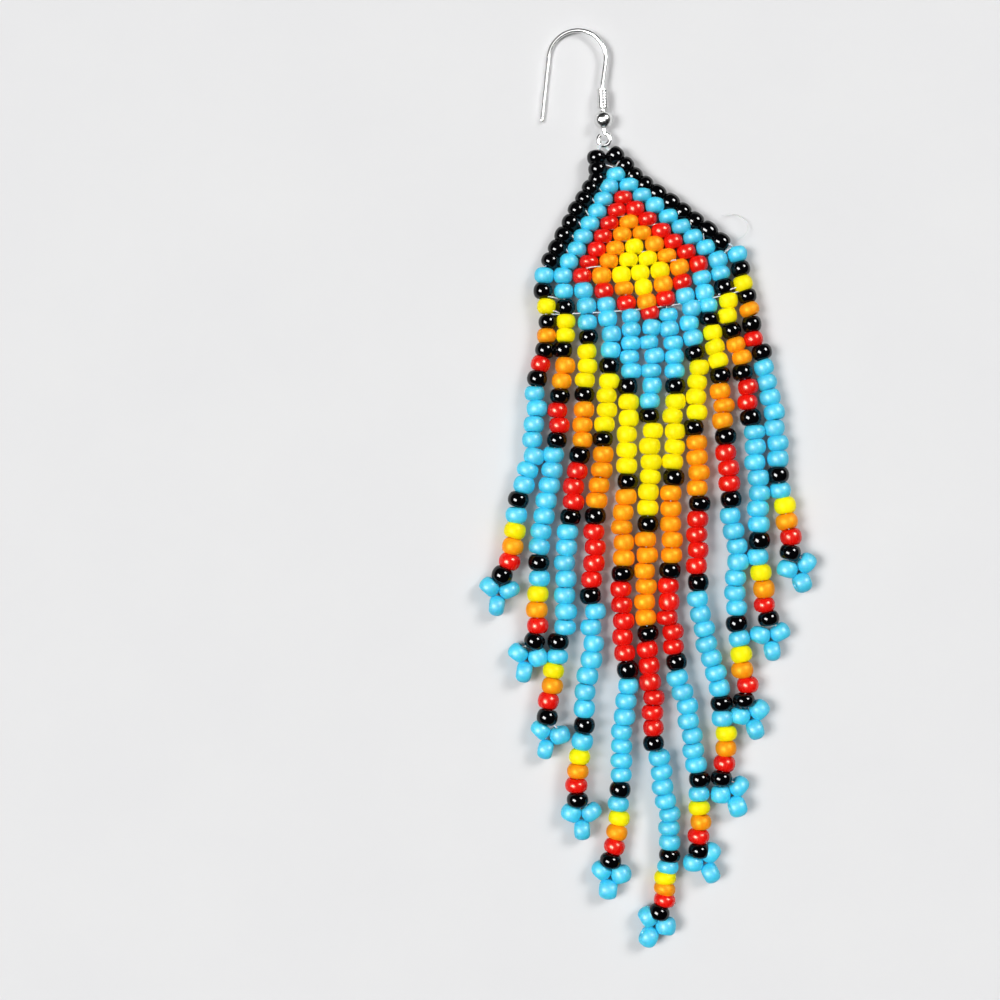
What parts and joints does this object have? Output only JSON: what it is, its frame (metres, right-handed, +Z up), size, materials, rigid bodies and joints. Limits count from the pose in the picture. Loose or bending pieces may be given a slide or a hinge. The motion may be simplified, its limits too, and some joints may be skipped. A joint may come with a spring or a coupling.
{
  "type": "beaded fringe earring",
  "caption": "Fish-hook earring with a woven bead triangle and a long pointed fringe of bead strings, each ending in a three-bead drop, laid flat.",
  "frame": {"origin": "bottom centre of the bounding box, on the surface that the earring lies on", "axes": "+Y along the earring towards the hook, +X to the right seen from above, +Z up, through the thickness of the beadwork"},
  "size_m": [0.0488, 0.1342, 0.0028],
  "materials": {
    "hook_metal": "bright silver-plated wire, ball and coil",
    "thread": "clear nylon beading thread",
    "panel_beads": "opaque glass beads in nested triangles of blue, red, orange and yellow",
    "edging_beads": "opaque glossy black glass beads",
    "strand_beads": "opaque glass beads in bands of blue, yellow, orange and red with black between",
    "picot_beads": "opaque sky blue glass beads"
  },
  "bodies": {
    "root": {"ear_hook": "hook_metal", "hook_ball": "hook_metal", "hook_coil": "hook_metal", "thread_loop": "thread", "beadwork_panel": "panel_beads", "edging_left": "edging_beads", "edging_right": "edging_beads", "strand_01": "strand_beads", "strand_02": "strand_beads", "strand_03": "strand_beads", "strand_04": "strand_beads", "strand_05": "strand_beads", "strand_06": "strand_beads", "strand_07": "strand_beads", "strand_08": "strand_beads", "strand_09": "strand_beads", "strand_10": "strand_beads", "strand_11": "strand_beads", "picot_01": "picot_beads", "picot_02": "picot_beads", "picot_03": "picot_beads", "picot_04": "picot_beads", "picot_05": "picot_beads", "picot_06": "picot_beads", "picot_07": "picot_beads", "picot_08": "picot_beads", "picot_09": "picot_beads", "picot_10": "picot_beads", "picot_11": "picot_beads"}
  },
  "joints": []
}
